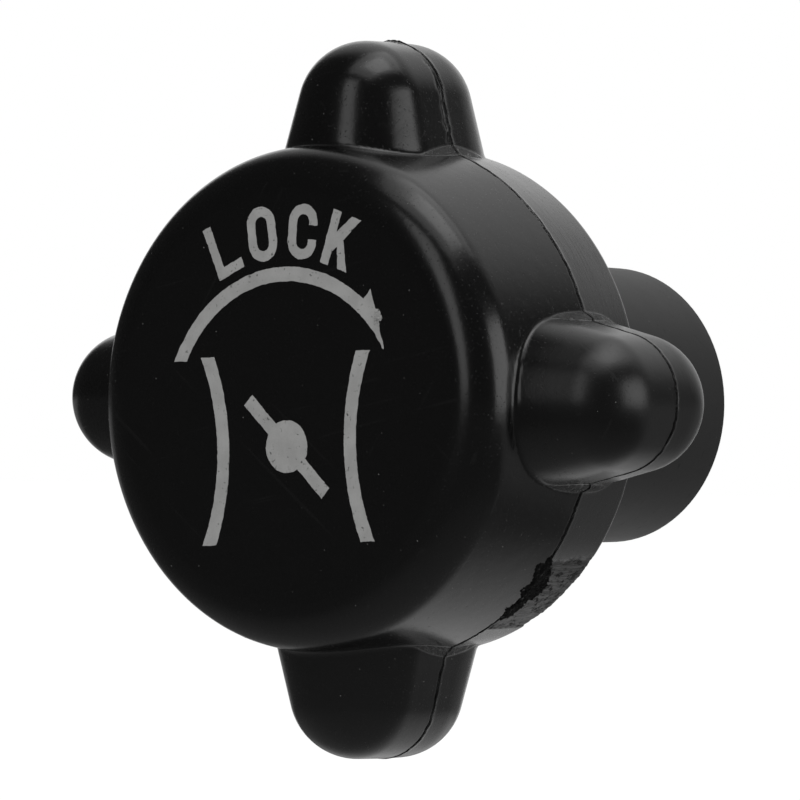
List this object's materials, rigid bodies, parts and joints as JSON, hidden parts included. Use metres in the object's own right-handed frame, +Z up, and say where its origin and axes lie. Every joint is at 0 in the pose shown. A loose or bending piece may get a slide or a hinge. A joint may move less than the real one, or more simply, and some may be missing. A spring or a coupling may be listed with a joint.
{
  "type": "throttle knob",
  "caption": "Round hand throttle knob with domed grip lugs around its rim, a straight round neck and a threaded brass insert that takes the throttle rod.",
  "frame": {"origin": "centre of the open end of the neck, where the throttle rod screws in", "axes": "+Y along the knob's axis, out of the threaded hole and away from the user; -Y is the way the marked face looks; +Z is up with the mark upright; grip lugs stand on +X, -X, +Z and -Z"},
  "size_m": [0.044, 0.0338, 0.044],
  "materials": {
    "moulding": "black moulding, gloss on the head and lugs, duller on the neck, with a light grey printed mark on the face",
    "insert": "machined brass, slightly dulled"
  },
  "bodies": {
    "root": {"knob_moulding": "moulding", "threaded_insert": "insert"}
  },
  "joints": []
}
